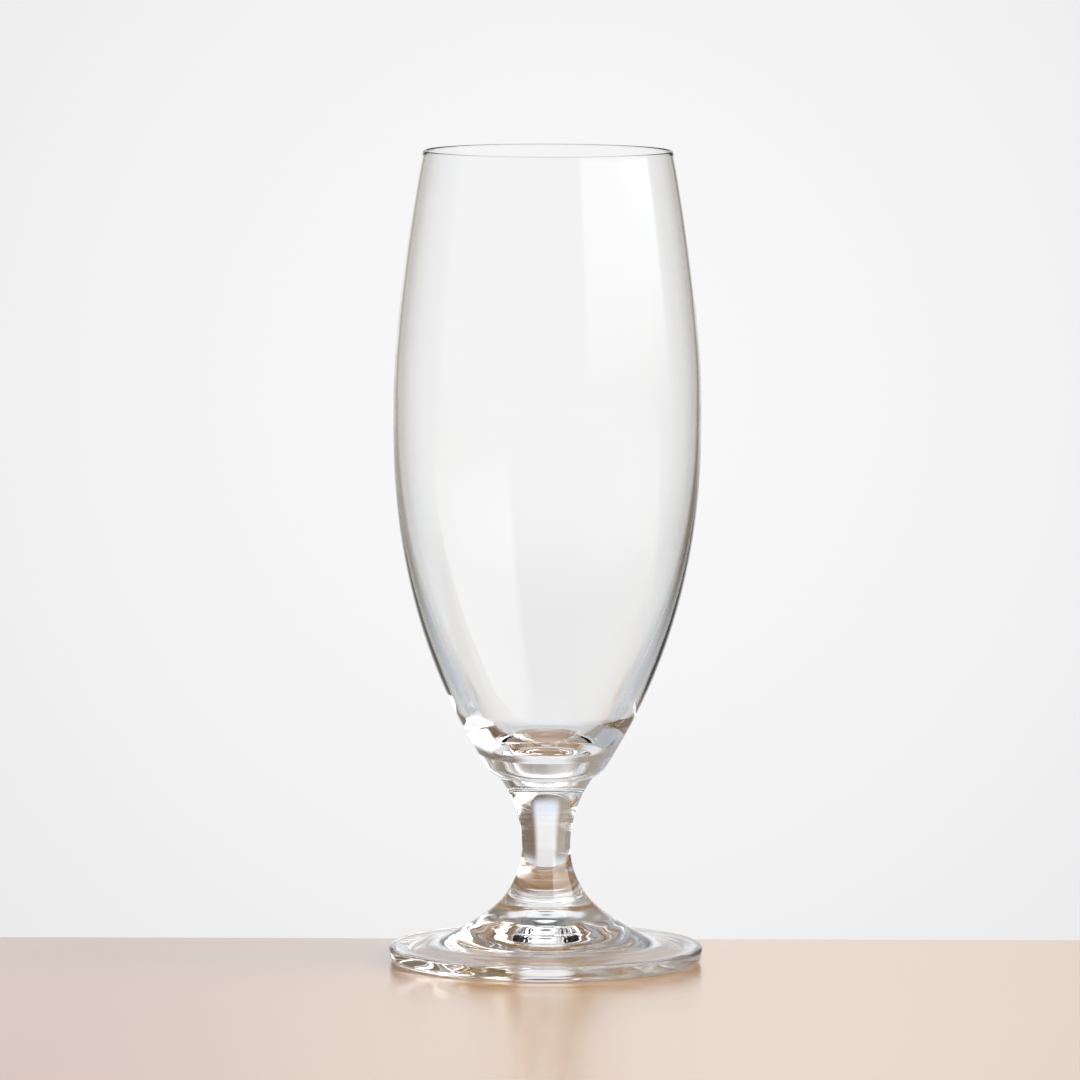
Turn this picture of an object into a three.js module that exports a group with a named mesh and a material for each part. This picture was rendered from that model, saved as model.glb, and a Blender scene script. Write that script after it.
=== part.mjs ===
// A stemmed drinking glass: a tall tulip bowl on a short drawn stem and a round foot.
// Three pieces of clear glass, each a body of revolution about the Z axis, fused end to end.
// Millimetres, +Z up, the foot stands on z = 0.
import * as THREE from "three";

// Heights, stacked from the table up
const footHeight = 16.9;
const stemHeight = 28.8;
const bowlHeight = 154.3;

// Foot: a plate that rises to a neck, with a shallow hollow under it
const footDiameter = 77.4;
const footEdgeHeight = 4.0;
const footEdgeRound = 0.9;
const footEdgeDrawIn = 0.6;
const footPlateWidth = 7.2;
const footPlateRise = 0.25;
const restRingInset = 1.5;
const restRingWidth = 3.2;
const footHollowDepth = 7.3;

// Stem: drawn in to a waist between its two welds
const stemWaistDiameter = 11.92;
const stemWaistHeight = 11.4;

// Welds: each is one diameter shared by the two pieces that meet there
const footWeldDiameter = 19.4;
const bowlWeldDiameter = 23.2;

// Bowl: outside shape
const bowlShoulderDiameter = 29.8;
const bowlShoulderHeight = 2.7;
const bowlBellyDiameter = 75.5;
const bowlBellyHeight = 92.8;
const bowlMouthDiameter = 61.2;

// Bowl: inside shape, walls measured level. The wall ends at the rim of a dish,
// whose floor is raised a little in the middle, inside a shallow groove.
const rimWall = 0.7;
const dishRimWall = 5.0;
const dishRimHeight = 16.7;
const bowlFloorThickness = 9.0;
const grooveDiameter = 16.0;
const grooveDepth = 0.85;

// Lean of the outline from upright, in degrees, outwards going up
const plateLean = -88;
const footWeldLean = -32;
const bowlWeldLean = 28;
const shoulderStartLean = 68;
const shoulderLean = 32.3;
const rimLean = -12;
const dishRimLean = 35;
const grooveLean = 82;

// Shares of a stretch's chord over which the lean at one of its ends holds on
const plateHold = 0.26;
const footNeckHold = 0.22;
const stemFootHold = 0.28;
const waistLowerHold = 0.41;
const waistUpperHold = 0.545;
const stemSeatHold = 0.12;
const shoulderHold = 0.34;
const flankLowerHold = 0.495;
const flankUpperHold = 0.145;
const tulipLowerHold = 0.283;
const tulipUpperHold = 0.21;
const dishRimHold = 0.27;
const grooveHold = 0.26;
const floorHold = 0.23;

// The wall thickens towards the dish by this power of the depth, and the foot's hollow
// falls away from its middle by this power of the radius
const wallTaperPower = 4;
const footHollowPower = 1.7;

// Steps round the axis and along each stretch of outline
const turnSteps = 56;
const stretchSteps = 10;
const shortSteps = 4;

// Heights of the joints between the pieces
const footWeldZ = footHeight;
const bowlWeldZ = footWeldZ + stemHeight;
const rimZ = bowlWeldZ + bowlHeight;
const floorZ = bowlWeldZ + bowlFloorThickness;
const dishRimZ = bowlWeldZ + dishRimHeight;

function at(radius, height) {
  return new THREE.Vector2(radius, height);
}

function towards(leanDegrees, length) {
  const lean = THREE.MathUtils.degToRad(leanDegrees);
  return at(Math.sin(lean) * length, Math.cos(lean) * length);
}

// A smooth stretch of outline from a lower to an upper point. Each end has its lean,
// and a hold: the share of the chord over which that lean still pulls on the curve.
function stretch(low, lowLean, lowHold, high, highLean, highHold) {
  const chord = low.distanceTo(high);
  const afterLow = low.clone().add(towards(lowLean, lowHold * chord));
  const beforeHigh = high.clone().sub(towards(highLean, highHold * chord));
  return new THREE.CubicBezierCurve(low, afterLow, beforeHigh, high);
}

function arc(centre, radius, startDegrees, endDegrees, steps) {
  const start = THREE.MathUtils.degToRad(startDegrees);
  const end = THREE.MathUtils.degToRad(endDegrees);
  const clockwise = endDegrees < startDegrees;
  return new THREE.EllipseCurve(centre.x, centre.y, radius, radius, start, end, clockwise).getPoints(steps);
}

// The curve's radius at a height, found by halving, for a curve that only rises
function radiusAt(curve, height) {
  const halvings = 40;
  let low = 0;
  let high = 1;
  for (let i = 0; i < halvings; i += 1) {
    const middle = (low + high) / 2;
    if (curve.getPoint(middle).y < height) low = middle;
    else high = middle;
  }
  return curve.getPoint(low).x;
}

// Turns an outline, given from the axis outwards and back to the axis, into a solid about Z.
// Points that fall on the one before them are dropped.
function turned(name, outline, material) {
  const sameSpot = 1e-6;
  const points = outline.filter((point, i) => i === 0 || point.distanceTo(outline[i - 1]) > sameSpot);
  const geometry = new THREE.LatheGeometry(points, turnSteps);
  geometry.rotateX(Math.PI / 2);
  const mesh = new THREE.Mesh(geometry, material);
  mesh.name = name;
  return mesh;
}

function clearGlass() {
  return new THREE.MeshStandardMaterial({
    color: 0xe9efef,
    roughness: 0.03,
    metalness: 0,
    transparent: true,
    opacity: 0.35,
  });
}

// The foot's outline goes along the hollow, over the resting ring and the edge,
// and up the top face to the neck.
function footOutline() {
  const footRadius = footDiameter / 2;
  const ringOuter = footRadius - restRingInset;
  const ringInner = ringOuter - restRingWidth;
  const hollow = [];
  for (let i = 0; i <= stretchSteps; i += 1) {
    const share = i / stretchSteps;
    hollow.push(at(ringInner * share, footHollowDepth * (1 - share ** footHollowPower)));
  }
  const underEdge = new THREE.QuadraticBezierCurve(
    at(ringOuter, 0),
    at(footRadius - footEdgeDrawIn, 0),
    at(footRadius - footEdgeDrawIn / 2, footEdgeHeight / 3),
  );
  const edgeCentre = at(footRadius - footEdgeRound, footEdgeHeight - footEdgeRound);
  const plateInner = at(footRadius - footPlateWidth, footEdgeHeight + footPlateRise);
  const neck = at(footWeldDiameter / 2, footWeldZ);
  const rise = stretch(plateInner, plateLean, plateHold, neck, footWeldLean, footNeckHold);
  return [
    ...hollow,
    ...underEdge.getPoints(shortSteps),
    ...arc(edgeCentre, footEdgeRound, 0, 90, shortSteps),
    ...rise.getPoints(stretchSteps),
    at(0, footWeldZ),
  ];
}

// The stem's outline narrows from the foot weld to the waist and flares to the bowl weld.
function stemOutline() {
  const foot = at(footWeldDiameter / 2, footWeldZ);
  const waist = at(stemWaistDiameter / 2, footWeldZ + stemWaistHeight);
  const seat = at(bowlWeldDiameter / 2, bowlWeldZ);
  const lower = stretch(foot, footWeldLean, stemFootHold, waist, 0, waistLowerHold);
  const upper = stretch(waist, 0, waistUpperHold, seat, bowlWeldLean, stemSeatHold);
  return [
    at(0, footWeldZ),
    ...lower.getPoints(stretchSteps),
    ...upper.getPoints(stretchSteps),
    at(0, bowlWeldZ),
  ];
}

// The bowl's outside is a rounded shoulder, a flank out to the belly and a flank in to the rim.
// Its inside follows the outside at the wall's thickness, down to a dish and its floor.
function bowlOutline() {
  const weld = at(bowlWeldDiameter / 2, bowlWeldZ);
  const shoulder = at(bowlShoulderDiameter / 2, bowlWeldZ + bowlShoulderHeight);
  const belly = at(bowlBellyDiameter / 2, bowlWeldZ + bowlBellyHeight);
  const mouth = at(bowlMouthDiameter / 2, rimZ);
  const hold = shoulderHold;
  const base = stretch(weld, shoulderStartLean, hold, shoulder, shoulderLean, hold);
  const flank = stretch(shoulder, shoulderLean, flankLowerHold, belly, 0, flankUpperHold);
  const tulip = stretch(belly, 0, tulipLowerHold, mouth, rimLean, tulipUpperHold);

  const wallAt = (height) => {
    const depth = (rimZ - height) / (rimZ - dishRimZ);
    return rimWall + (dishRimWall - rimWall) * depth ** wallTaperPower;
  };
  const insideAt = (height) => {
    const outside = radiusAt(height < belly.y ? flank : tulip, height);
    return at(outside - wallAt(height), height);
  };

  const lipZ = rimZ - rimWall / 2;
  const lipOutside = radiusAt(tulip, lipZ);
  const outside = [...flank.getPoints(stretchSteps), ...tulip.getPoints(stretchSteps)];
  const lip = arc(at(lipOutside - rimWall / 2, lipZ), rimWall / 2, 0, 180, shortSteps);
  const inside = [];
  for (let i = 1; i <= 2 * stretchSteps; i += 1) {
    inside.push(insideAt(lipZ + (dishRimZ - lipZ) * i / (2 * stretchSteps)));
  }
  const middle = at(0, floorZ);
  const groove = at(grooveDiameter / 2, floorZ - grooveDepth);
  const floor = stretch(middle, 90, floorHold, groove, grooveLean, floorHold);
  const dishRim = insideAt(dishRimZ);
  const dish = stretch(groove, grooveLean, grooveHold, dishRim, dishRimLean, dishRimHold);
  return [
    at(0, bowlWeldZ),
    ...base.getPoints(shortSteps),
    ...outside.filter((point) => point.y < lipZ),
    ...lip,
    ...inside,
    ...dish.getPoints(stretchSteps).reverse(),
    ...floor.getPoints(shortSteps).reverse(),
  ];
}

const group = new THREE.Group();
group.add(turned("foot", footOutline(), clearGlass()));
group.add(turned("stem", stemOutline(), clearGlass()));
group.add(turned("bowl", bowlOutline(), clearGlass()));

export default group;
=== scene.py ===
import math

import bpy
import numpy as np
from mathutils import Matrix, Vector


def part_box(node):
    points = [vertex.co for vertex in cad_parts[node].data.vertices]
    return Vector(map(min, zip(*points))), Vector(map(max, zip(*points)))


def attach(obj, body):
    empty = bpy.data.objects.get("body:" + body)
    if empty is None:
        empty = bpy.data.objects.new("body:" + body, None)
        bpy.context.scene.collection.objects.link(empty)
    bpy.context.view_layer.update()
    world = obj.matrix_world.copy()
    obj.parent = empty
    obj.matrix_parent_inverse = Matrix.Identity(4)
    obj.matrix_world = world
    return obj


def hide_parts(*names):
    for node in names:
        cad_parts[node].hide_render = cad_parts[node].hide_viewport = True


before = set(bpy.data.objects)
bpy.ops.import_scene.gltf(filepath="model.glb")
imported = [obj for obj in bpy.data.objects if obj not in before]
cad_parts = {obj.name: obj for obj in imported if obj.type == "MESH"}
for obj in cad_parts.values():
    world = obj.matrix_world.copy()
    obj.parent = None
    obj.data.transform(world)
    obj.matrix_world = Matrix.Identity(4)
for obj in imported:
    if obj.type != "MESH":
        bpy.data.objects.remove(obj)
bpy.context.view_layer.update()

mm = 0.001

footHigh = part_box("foot")[1]
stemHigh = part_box("stem")[1]
bowlLow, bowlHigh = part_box("bowl")
print("frame loaded, glass", round(bowlHigh[2] / mm), "mm high")

mesh = {
    "turns": 240,
    "fineSteps": 180,
    "stretchSteps": 60,
    "shortSteps": 12,
    "samePoint": 1e-8,
}


def stretch(low, lowLean, lowHold, high, highLean, highHold, steps):
    # Cubic curve between two outline points. Each inner control lies along the end's lean,
    # at the end's hold times the chord.
    low, high = np.array(low), np.array(high)
    chord = np.linalg.norm(high - low)
    leans = np.radians([lowLean, highLean])
    pulls = np.stack([np.sin(leans), np.cos(leans)], axis=1)
    afterLow = low + lowHold * chord * pulls[0]
    beforeHigh = high - highHold * chord * pulls[1]
    t = np.linspace(0, 1, steps + 1)[:, None]
    inner = 3 * t * (1 - t) * ((1 - t) * afterLow + t * beforeHigh)
    return (1 - t) ** 3 * low + inner + t ** 3 * high


def bend(start, corner, end, steps):
    # Parabola that leaves the start towards the corner and arrives at the end from it.
    start, corner, end = np.array(start), np.array(corner), np.array(end)
    t = np.linspace(0, 1, steps + 1)[:, None]
    return (1 - t) ** 2 * start + 2 * t * (1 - t) * corner + t * t * end


def arc(centre, radius, startDegrees, endDegrees, steps):
    # Centre plus the radius along an angle that sweeps evenly.
    angles = np.radians(np.linspace(startDegrees, endDegrees, steps + 1))
    return np.array(centre) + radius * np.stack([np.cos(angles), np.sin(angles)], axis=1)


def joined(*runs):
    # One outline of all the runs, without points that fall on the one before.
    outline = np.concatenate([np.atleast_2d(run) for run in runs])
    moved = np.linalg.norm(np.diff(outline, axis=0), axis=1) > mesh["samePoint"]
    return outline[np.concatenate([[True], moved])]


def spun(name, outline, weldBands, materials):
    # Turns an outline, (radius, height) from axis to axis, about Z: x = r cos a, y = r sin a.
    # weldBands are the outline's segments that wear the second material.
    turns = mesh["turns"]
    angles = np.arange(turns) * 2 * math.pi / turns
    radius, height = outline[1:-1, 0][:, None], outline[1:-1, 1][:, None]
    rings = np.stack([radius * np.cos(angles), radius * np.sin(angles), height + 0 * angles], axis=2)
    poles = np.array([[0, 0, outline[0, 1]], [0, 0, outline[-1, 1]]])
    points = np.concatenate([rings.reshape(-1, 3), poles])
    count = len(outline) - 2
    grid = np.arange(count * turns).reshape(count, turns)
    after = np.roll(grid, -1, axis=1)
    quads = np.stack([grid[:-1], after[:-1], after[1:], grid[1:]], axis=2).reshape(-1, 4)
    firstFan = np.stack([np.full(turns, count * turns), after[0], grid[0]], axis=1)
    lastFan = np.stack([np.full(turns, count * turns + 1), grid[-1], after[-1]], axis=1)
    piece = bpy.data.objects.new(name, bpy.data.meshes.new(name))
    piece.data.from_pydata(points.tolist(), [], quads.tolist() + firstFan.tolist() + lastFan.tolist())
    # The segment of each face, in the order in which the faces were given.
    bands = np.concatenate([np.repeat(np.arange(1, count), turns), np.zeros(turns), np.full(turns, count)])
    onWeld = np.isin(bands, [band % (count + 1) for band in weldBands])
    piece.data.polygons.foreach_set("material_index", onWeld.astype(np.int32))
    piece.data.polygons.foreach_set("use_smooth", ~onWeld)
    for material in materials:
        piece.data.materials.append(material)
    piece.data.update()
    bpy.context.collection.objects.link(piece)
    return piece


foot = {
    "radius": footHigh[0],
    "edgeHeight": 4.0 * mm,
    "edgeRound": 0.9 * mm,
    "edgeDrawIn": 0.6 * mm,
    "turnUpShare": 1 / 3,
    "plateWidth": 7.2 * mm,
    "plateRise": 0.25 * mm,
    "plateLean": -88,
    "plateHold": 0.26,
    "ringInset": 1.5 * mm,
    "ringWidth": 3.2 * mm,
    "hollowDepth": 7.3 * mm,
    "hollowPower": 1.7,
    "dimpleRadius": 13 * mm,
    "dimpleDepth": 0.8 * mm,
    "hollowRing": 0.05 * mm,
    "hollowRingSpacing": 4.6 * mm,
    "plateRing": 0.012 * mm,
    "plateRingSpacing": 3.1 * mm,
    "weldRadius": 9.7 * mm,
    "weldLean": -32,
    "neckHold": 0.22,
    "weldHeight": footHigh[2],
}


def makeFoot(materials):
    # Under the hollow, over the ring and the edge, up the plate to the neck. The hollow falls
    # away from its middle by a power of the radius, and has a shallow dimple there, a parabola.
    # The hollow and the plate carry faint rings from the tool, a cosine of the radius that dies
    # away towards the hollow's rim and towards both ends of the plate.
    long, short = mesh["fineSteps"], mesh["shortSteps"]
    ringOuter = foot["radius"] - foot["ringInset"]
    ringInner = ringOuter - foot["ringWidth"]
    share = np.linspace(0, 1, long + 1)
    radii = ringInner * share
    swell = foot["hollowDepth"] * (1 - share ** foot["hollowPower"])
    rings = foot["hollowRing"] * (1 - share) * (np.cos(2 * math.pi * radii / foot["hollowRingSpacing"]) - 1)
    dimple = foot["dimpleDepth"] * np.clip(1 - (radii / foot["dimpleRadius"]) ** 2, 0, 1)
    hollow = np.stack([radii, swell + rings + dimple], axis=1)
    drawnIn = foot["radius"] - foot["edgeDrawIn"]
    turnUp = ((drawnIn + foot["radius"]) / 2, foot["edgeHeight"] * foot["turnUpShare"])
    under = bend((ringOuter, 0), (drawnIn, 0), turnUp, short)
    edgeCentre = (foot["radius"] - foot["edgeRound"], foot["edgeHeight"] - foot["edgeRound"])
    edge = arc(edgeCentre, foot["edgeRound"], 0, 90, short)
    plate = (foot["radius"] - foot["plateWidth"], foot["edgeHeight"] + foot["plateRise"])
    neck = (foot["weldRadius"], foot["weldHeight"])
    plateLean, neckLean = foot["plateLean"], foot["weldLean"]
    rise = stretch(plate, plateLean, foot["plateHold"], neck, neckLean, foot["neckHold"], long)
    calm = np.sin(math.pi * share)
    rise[:, 1] += foot["plateRing"] * calm * np.cos(2 * math.pi * rise[:, 0] / foot["plateRingSpacing"])
    outline = joined(hollow, under, edge, rise, (0, foot["weldHeight"]))
    return spun("foot_glass", outline, [-1], materials)


stem = {
    "footHold": 0.28,
    "waistRadius": 5.96 * mm,
    "waistHeight": footHigh[2] + 11.4 * mm,
    "waistLowerHold": 0.41,
    "waistUpperHold": 0.545,
    "seatRadius": stemHigh[0],
    "seatLean": 28,
    "seatHold": 0.12,
    "seatHeight": stemHigh[2],
}


def makeStem(materials):
    # From the foot weld in to the waist and out to the bowl weld.
    long = mesh["stretchSteps"]
    neck = (foot["weldRadius"], foot["weldHeight"])
    waist = (stem["waistRadius"], stem["waistHeight"])
    seat = (stem["seatRadius"], stem["seatHeight"])
    lower = stretch(neck, foot["weldLean"], stem["footHold"], waist, 0, stem["waistLowerHold"], long)
    upper = stretch(waist, 0, stem["waistUpperHold"], seat, stem["seatLean"], stem["seatHold"], long)
    outline = joined((0, foot["weldHeight"]), lower, upper, (0, stem["seatHeight"]))
    return spun("stem_glass", outline, [0, -1], materials)


bowl = {
    "shoulderRadius": 14.9 * mm,
    "shoulderHeight": bowlLow[2] + 2.7 * mm,
    "shoulderStartLean": 68,
    "shoulderLean": 32.3,
    "shoulderHold": 0.34,
    "flankLowerHold": 0.495,
    "bellyRadius": bowlHigh[0],
    "bellyHeight": bowlLow[2] + 92.8 * mm,
    "flankUpperHold": 0.145,
    "tulipLowerHold": 0.283,
    "mouthRadius": 30.6 * mm,
    "rimHeight": bowlHigh[2],
    "rimLean": -12,
    "tulipUpperHold": 0.21,
    "rimWall": 0.7 * mm,
    "dishRimWall": 5.0 * mm,
    "wallTaperPower": 4,
    "dishRimHeight": bowlLow[2] + 16.7 * mm,
    "dishRimLean": 35,
    "dishRimHold": 0.27,
    "grooveRadius": 8.0 * mm,
    "grooveDepth": 0.85 * mm,
    "grooveLean": 82,
    "grooveHold": 0.26,
    "floorHeight": bowlLow[2] + 9.0 * mm,
    "floorHold": 0.23,
}


def makeBowl(materials):
    # Shoulder, flank out to the belly, flank in to the rim, and the inside, which is the
    # outside less a wall that thickens with a power of the depth, down to a dish with a
    # groove round its raised floor.
    long, short = mesh["stretchSteps"], mesh["shortSteps"]
    seat = (stem["seatRadius"], stem["seatHeight"])
    shoulder = (bowl["shoulderRadius"], bowl["shoulderHeight"])
    belly = (bowl["bellyRadius"], bowl["bellyHeight"])
    mouth = (bowl["mouthRadius"], bowl["rimHeight"])
    startLean, shoulderLean, hold = bowl["shoulderStartLean"], bowl["shoulderLean"], bowl["shoulderHold"]
    base = stretch(seat, startLean, hold, shoulder, shoulderLean, hold, short)
    flank = stretch(shoulder, shoulderLean, bowl["flankLowerHold"], belly, 0, bowl["flankUpperHold"], long)
    tulip = stretch(belly, 0, bowl["tulipLowerHold"], mouth, bowl["rimLean"], bowl["tulipUpperHold"], long)
    outside = joined(flank, tulip)
    rimZ, floorZ = bowl["rimHeight"], bowl["floorHeight"]

    def insideAt(height):
        depth = (rimZ - height) / (rimZ - bowl["dishRimHeight"])
        wall = bowl["rimWall"] + (bowl["dishRimWall"] - bowl["rimWall"]) * depth ** bowl["wallTaperPower"]
        return np.interp(height, outside[:, 1], outside[:, 0]) - wall

    halfRim = bowl["rimWall"] / 2
    lipZ = rimZ - halfRim
    lipRadius = np.interp(lipZ, outside[:, 1], outside[:, 0])
    lip = arc((lipRadius - halfRim, lipZ), halfRim, 0, 180, short)
    heights = np.linspace(lipZ, bowl["dishRimHeight"], 2 * long)[1:]
    inside = np.stack([insideAt(heights), heights], axis=1)
    groove = (bowl["grooveRadius"], floorZ - bowl["grooveDepth"])
    lean, hold, floorHold = bowl["grooveLean"], bowl["grooveHold"], bowl["floorHold"]
    dish = stretch(groove, lean, hold, inside[-1], bowl["dishRimLean"], bowl["dishRimHold"], long)[::-1]
    floor = stretch((0, floorZ), 90, floorHold, groove, lean, floorHold, long)[::-1]
    outside = outside[outside[:, 1] < lipZ]
    outline = joined((0, stem["seatHeight"]), base, outside, lip, inside, dish, floor)
    return spun("bowl_glass", outline, [0], materials)


class Wire:
    # A node's output. Arithmetic on wires and numbers adds Math nodes.
    def __init__(self, graph, socket):
        self.graph = graph
        self.socket = socket

    def __add__(self, other):
        return self.graph.maths("ADD", self, other)

    __radd__ = __add__

    def __mul__(self, other):
        return self.graph.maths("MULTIPLY", self, other)

    __rmul__ = __mul__

    def __sub__(self, other):
        return self.graph.maths("SUBTRACT", self, other)

    def __rsub__(self, other):
        return self.graph.maths("SUBTRACT", other, self)


class Graph:
    # The nodes of a material or a world.
    def __init__(self, owner):
        owner.use_nodes = True
        self.tree = owner.node_tree
        self.tree.nodes.clear()

    def add(self, kind, settings, inputs, output=0):
        # Makes a node: its settings first, then the values or links of its sockets.
        node = self.tree.nodes.new(kind)
        for key, value in settings.items():
            setattr(node, key, value)
        for key, value in inputs.items():
            if isinstance(value, Wire):
                self.tree.links.new(value.socket, node.inputs[key])
            else:
                node.inputs[key].default_value = value
        return Wire(self, node.outputs[output]) if node.outputs else None

    def maths(self, operation, *values):
        return self.add("ShaderNodeMath", {"operation": operation}, dict(enumerate(values)))

    def parts(self, vector):
        # X, Y and Z of a vector.
        x = self.add("ShaderNodeSeparateXYZ", {}, {"Vector": vector})
        return [Wire(self, output) for output in x.socket.node.outputs]

    def length(self, vector):
        return self.add("ShaderNodeVectorMath", {"operation": "LENGTH"}, {0: vector}, "Value")

    def ease(self, value, start, end):
        # 0 before start, 1 after end, smooth between.
        limits = {"Value": value, "From Min": start, "From Max": end}
        return self.add("ShaderNodeMapRange", {"interpolation_type": "SMOOTHSTEP"}, limits)

    def window(self, value, low, high, soft):
        # 1 between low and high, 0 outside, with soft sides.
        rise = self.ease(value, low - soft / 2, low + soft / 2)
        return rise * (1 - self.ease(value, high - soft / 2, high + soft / 2))

    def mixed(self, share, first, second):
        # The first colour where share is 0, the second where it is 1.
        firstIn, secondIn, mixedOut = 6, 7, 2  # the Mix node's sockets for colour
        first, second = [tone if isinstance(tone, Wire) else (*tone, 1) for tone in (first, second)]
        inputs = {"Factor": share, firstIn: first, secondIn: second}
        return self.add("ShaderNodeMix", {"data_type": "RGBA"}, inputs, mixedOut)


# Noise scales are per metre. Heights of wave and ring are in mm, and shine is the strength of
# what the glass mirrors.
glass = {
    "ior": 1.52,
    "tint": (0.995, 1.0, 0.998),
    "roughness": 0.0,
    "smudge": 0.012,
    "smudgeScale": 60,
    "smudgeDetail": 4,
    "smudgeTurn": (0.5, 0.8),
    "waveScale": 90,
    "ringScale": 420,
    "reliefDetail": 1,
    "ringDrift": 0.12,
    "ringFade": (bowlLow[2] + 6 * mm, bowlLow[2] + 24 * mm),
    "foot": {"shine": 1.0, "wave": 0.012, "ring": 0.016},
    "stem": {"shine": 1.0, "wave": 0.012, "ring": 0.004},
    "bowl": {"shine": 0.2, "wave": 0.012, "ring": 0.006},
}


def noise(graph, place, scale, detail):
    return graph.add("ShaderNodeTexNoise", {}, {"Vector": place, "Scale": scale, "Detail": detail})


def clearGlass(name, look):
    # Clear glass with faint handling marks, and a surface with a long wave and with fine
    # tooling rings about the axis. The rings are noise over radius and height, drift a
    # little across the piece and fade out up the bowl.
    material = bpy.data.materials.new(name)
    graph = Graph(material)
    place = graph.add("ShaderNodeTexCoord", {}, {}, "Object")
    marks = noise(graph, place, glass["smudgeScale"], glass["smudgeDetail"])
    rough = glass["roughness"] + glass["smudge"] * graph.ease(marks, *glass["smudgeTurn"])
    waves = noise(graph, place, glass["waveScale"], glass["reliefDetail"])
    x, y, z = graph.parts(place)
    radius = graph.maths("SQRT", x * x + y * y)
    about = graph.add("ShaderNodeCombineXYZ", {}, {"X": radius, "Y": z, "Z": glass["ringDrift"] * (x + y)})
    rings = noise(graph, about, glass["ringScale"], glass["reliefDetail"])
    rings = rings * (1 - graph.ease(z, *glass["ringFade"]))
    relief = look["wave"] * waves + look["ring"] * rings
    bump = graph.add("ShaderNodeBump", {}, {"Strength": 1, "Distance": mm, "Height": relief})
    shine = look["shine"]
    surface = {
        "Base Color": (*glass["tint"], 1),
        "Roughness": rough,
        "IOR": glass["ior"],
        "Specular Tint": (shine, shine, shine, 1),
        "Transmission Weight": 1,
        "Normal": bump,
    }
    shader = graph.add("ShaderNodeBsdfPrincipled", {}, surface)
    graph.add("ShaderNodeOutputMaterial", {}, {"Surface": shader})
    return material


def fusedFace():
    # Where two pieces are fused there is no surface to see.
    material = bpy.data.materials.new("fused_face")
    graph = Graph(material)
    shader = graph.add("ShaderNodeBsdfTransparent", {}, {"Color": (1, 1, 1, 1)})
    graph.add("ShaderNodeOutputMaterial", {}, {"Surface": shader})
    return material


table = {
    # The left and right paints are painted shade, darker than the middle paint where the light falls off
    # across the board.
    "leftShadedPaint": (0.41, 0.145, 0.01),
    "middlePaint": (0.645, 0.38, 0.17),
    "rightShadedPaint": (0.55, 0.29, 0.085),
    "leftShadeTurn": (-125 * mm, 20 * mm),
    "rightShadeTurn": (50 * mm, 170 * mm),
    "farPaint": (0.72, 0.60, 0.47),
    "farRoughness": 0.6,
    "farTurn": (200 * mm, 650 * mm),
    "grain": 0.07,
    "grainStretch": (4, 60, 1),
    "grainScale": 12,
    "grainDetail": 6,
    "grainTurn": (0.3, 0.7),
    "roughness": 0.24,
    "varnish": 1.0,
    "varnishRoughness": 0.24,
    "gap": 0.1 * mm,
    "farEdge": 39.4 * mm,
    "halfWidth": 1.5,
    "depth": 3.0,
}


def makeTable():
    # A varnished wooden board with fine streaks along X, whose far edge is just behind the foot.
    # Its paint is lighter in the middle, past the glass, and turns darker to the left and to the right:
    # painted shade for light that falls off across the board. Far from the glass the board is paler
    # and bare, without varnish.
    material = bpy.data.materials.new("pale_wood")
    graph = Graph(material)
    place = graph.add("ShaderNodeTexCoord", {}, {}, "Object")
    x = graph.parts(place)[0]
    # Painted shade: the paint darkens from the middle towards the left and the right, where the light falls
    # off.
    paintWithShade = graph.mixed(graph.ease(x, *table["leftShadeTurn"]), table["leftShadedPaint"], table["middlePaint"])
    paintWithShade = graph.mixed(graph.ease(x, *table["rightShadeTurn"]), paintWithShade, table["rightShadedPaint"])
    bare = graph.ease(graph.length(place), *table["farTurn"])
    paintWithShade = graph.mixed(bare, paintWithShade, table["farPaint"])
    along = graph.add("ShaderNodeMapping", {}, {"Vector": place, "Scale": table["grainStretch"]})
    streaks = noise(graph, along, table["grainScale"], table["grainDetail"])
    shade = 1 - table["grain"] * graph.ease(streaks, *table["grainTurn"])
    colour = graph.add("ShaderNodeVectorMath", {"operation": "SCALE"}, {0: paintWithShade, "Scale": shade})
    surface = {
        "Base Color": colour,
        "Roughness": table["roughness"] + bare * (table["farRoughness"] - table["roughness"]),
        "Coat Weight": table["varnish"] * (1 - bare),
        "Coat Roughness": table["varnishRoughness"],
    }
    shader = graph.add("ShaderNodeBsdfPrincipled", {}, surface)
    graph.add("ShaderNodeOutputMaterial", {}, {"Surface": shader})
    wide, near, far = table["halfWidth"], table["farEdge"] - table["depth"], table["farEdge"]
    plan = ((-wide, near), (wide, near), (wide, far), (-wide, far))
    corners = [(across, back, -table["gap"]) for across, back in plan]
    board = bpy.data.objects.new("table", bpy.data.meshes.new("table"))
    board.data.from_pydata(corners, [], [(0, 1, 2, 3)])
    board.data.materials.append(material)
    bpy.context.collection.objects.link(board)


# Azimuth is counted from straight behind the glass, positive to the right, and a rise from
# level. A pair of angles is where a change starts and where it ends.
studio = {
    "backdrop": {"aside": 17, "asideSoft": 12, "low": -38, "high": 30, "soft": 18},
    "backdropLow": (0.92, 0.92, 0.92),
    "backdropHigh": (0.83, 0.89, 0.98),
    "backdropTurn": (2, 18),
    "backdropDim": (0.84, 0.84, 0.845),
    "backdropDimRise": (-6.8, -10.5),
    "rightWing": (0.20, 0.165, 0.13),
    "leftWing": (0.36, 0.325, 0.28),
    "wingEnd": 60,
    "wingSoft": 10,
    "room": (0.15, 0.095, 0.04),
    "sidePanel": {"from": -120, "to": -60, "soft": 12, "light": (0.42, 0.45, 0.50)},
    "overhead": (0.07, 0.085, 0.11),
    "overheadRise": (35, 60),
    "top": (2.2, 2.2, 2.2),
    "topRise": (55, 75),
    "below": (0.60, 0.63, 0.66),
    "belowRise": (-12, -26),
    "softbox": {"from": 76, "to": 150, "low": 6, "high": 65, "side": 5, "edge": 22, "light": 4.4},
    "pool": {"azimuth": 0.2, "rise": -4.5, "reach": 8, "middle": 0.942, "edge": 0.78},
}


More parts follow.
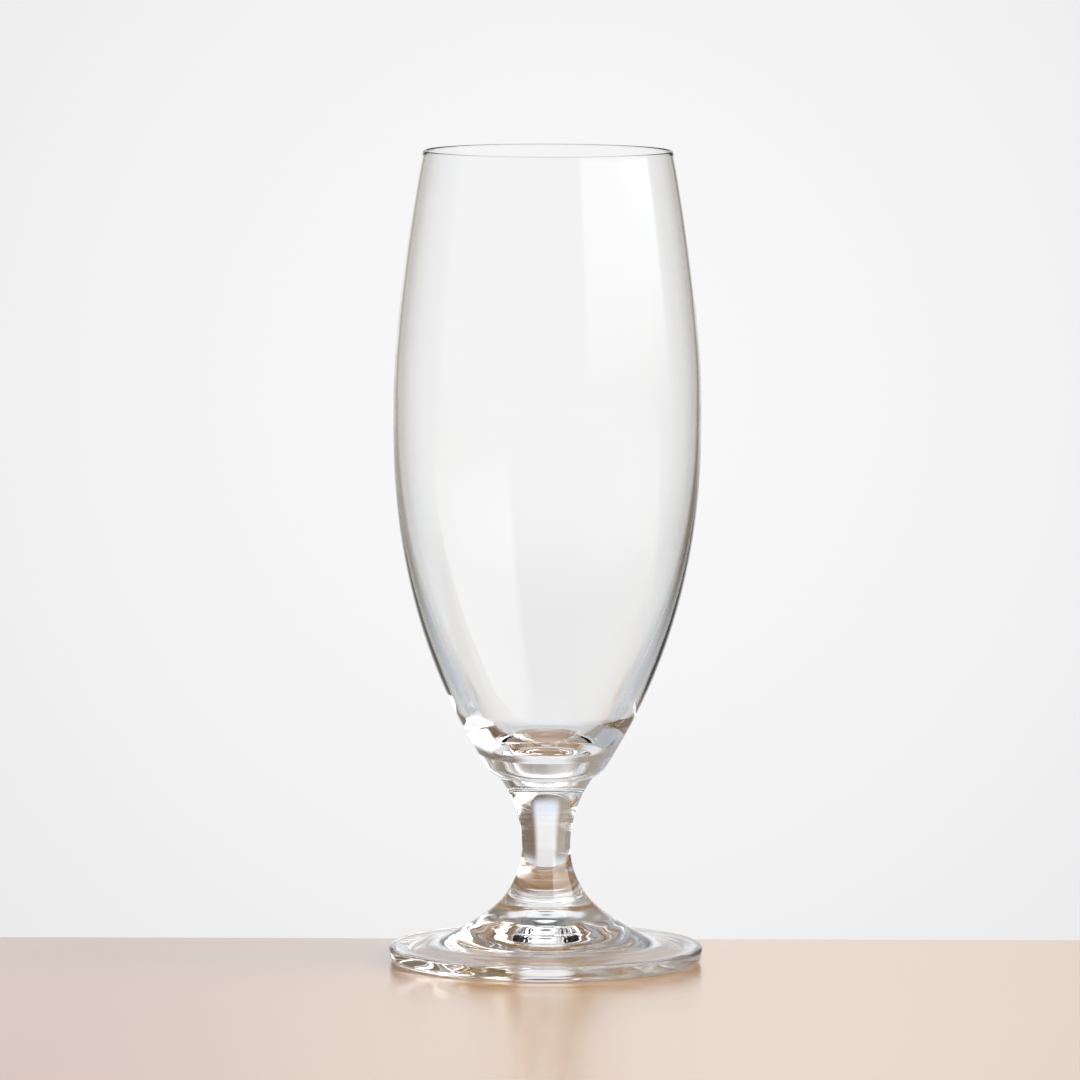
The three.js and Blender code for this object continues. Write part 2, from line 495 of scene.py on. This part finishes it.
def makeStudio():
    # Light by direction: a bright backdrop behind the glass, a dimmer wing on each side of it,
    # a grey panel to the left and a softbox to the right, in a dark warm room that is grey
    # below, dark overhead and bright at the very top. The camera itself sees a pale backdrop
    # all round, with a pool of light on it.
    world = bpy.data.worlds.new("studio")
    bpy.context.scene.world = world
    graph = Graph(world)
    direction = graph.add("ShaderNodeTexCoord", {}, {}, "Generated")
    x, y, z = graph.parts(direction)
    toDegrees = 180 / math.pi
    azimuth = toDegrees * graph.maths("ARCTAN2", x, y)
    rise = toDegrees * graph.maths("ARCSINE", z)
    end, soft = studio["wingEnd"], studio["wingSoft"]
    panel = studio["sidePanel"]
    aside = graph.window(azimuth, panel["from"], panel["to"], panel["soft"])
    colour = graph.mixed(aside, studio["room"], panel["light"])
    colour = graph.mixed(graph.window(azimuth, 0, end, soft), colour, studio["rightWing"])
    colour = graph.mixed(graph.window(azimuth, -end, 0, soft), colour, studio["leftWing"])
    colour = graph.mixed(graph.ease(rise, *studio["belowRise"]), colour, studio["below"])
    colour = graph.mixed(graph.ease(rise, *studio["overheadRise"]), colour, studio["overhead"])
    back = studio["backdrop"]
    across = graph.window(azimuth, -back["aside"], back["aside"], back["asideSoft"])
    upwards = graph.window(rise, back["low"], back["high"], back["soft"])
    turned = graph.ease(rise, *studio["backdropTurn"])
    behind = graph.mixed(turned, studio["backdropLow"], studio["backdropHigh"])
    behind = graph.mixed(graph.ease(rise, *studio["backdropDimRise"]), behind, studio["backdropDim"])
    colour = graph.mixed(across * upwards, colour, behind)
    box = studio["softbox"]
    across = graph.window(azimuth, box["from"], box["to"], box["side"])
    upwards = graph.window(rise, box["low"], box["high"], box["edge"])
    colour = graph.mixed(across * upwards, colour, [box["light"]] * 3)
    colour = graph.mixed(graph.ease(rise, *studio["topRise"]), colour, studio["top"])
    pool = studio["pool"]
    offsets = {"X": azimuth - pool["azimuth"], "Y": rise - pool["rise"]}
    away = graph.length(graph.add("ShaderNodeCombineXYZ", {}, offsets))
    seen = graph.mixed(graph.ease(away, 0, pool["reach"]), [pool["middle"]] * 3, [pool["edge"]] * 3)
    direct = graph.add("ShaderNodeLightPath", {}, {}, "Is Camera Ray")
    colour = graph.mixed(direct, colour, seen)
    shader = graph.add("ShaderNodeBackground", {}, {"Color": colour, "Strength": 1})
    graph.add("ShaderNodeOutputWorld", {}, {"Surface": shader})


# The lens and the picture's width are in pixels, the sensor is in mm as Blender counts it.
shot = {
    "distance": 2264 * mm,
    "height": 320.6 * mm,
    "sideStep": -1.72 * mm,
    "pitch": 5.46,
    "roll": 0.17,
    "lensPixels": 9257,
    "picturePixels": 1080,
    "sensor": 36,
    "nearest": 10 * mm,
}


def makeCamera():
    # In front of the glass and a little above it, looking slightly down.
    data = bpy.data.cameras.new("camera")
    data.sensor_width = shot["sensor"]
    data.lens = shot["sensor"] * shot["lensPixels"] / shot["picturePixels"]
    data.clip_start = shot["nearest"]
    camera = bpy.data.objects.new("camera", data)
    bpy.context.collection.objects.link(camera)
    tilt = Matrix.Rotation(math.radians(90 - shot["pitch"]), 3, "X")
    roll = Matrix.Rotation(math.radians(shot["roll"]), 3, "Z")
    camera.rotation_euler = (tilt @ roll).to_euler()
    camera.location = (shot["sideStep"], -shot["distance"], shot["height"])
    bpy.context.scene.camera = camera


bounces = {"clear": 32, "mirrored": 16}
scene = bpy.context.scene
scene.view_settings.view_transform = "Standard"
scene.cycles.max_bounces = bounces["clear"]
scene.cycles.transmission_bounces = bounces["clear"]
scene.cycles.glossy_bounces = bounces["mirrored"]
scene.cycles.transparent_max_bounces = bounces["clear"]

weld = fusedFace()
pieces = {
    "foot": makeFoot([clearGlass("foot_clear", glass["foot"]), weld]),
    "stem": makeStem([clearGlass("stem_clear", glass["stem"]), weld]),
    "bowl": makeBowl([clearGlass("bowl_clear", glass["bowl"]), weld]),
}
for node, piece in pieces.items():
    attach(piece, "root")
    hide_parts(node)
    node + "_glass"
    print(piece.name, len(piece.data.polygons), "faces")

makeTable()
makeStudio()
makeCamera()
print("stage, light and camera set")
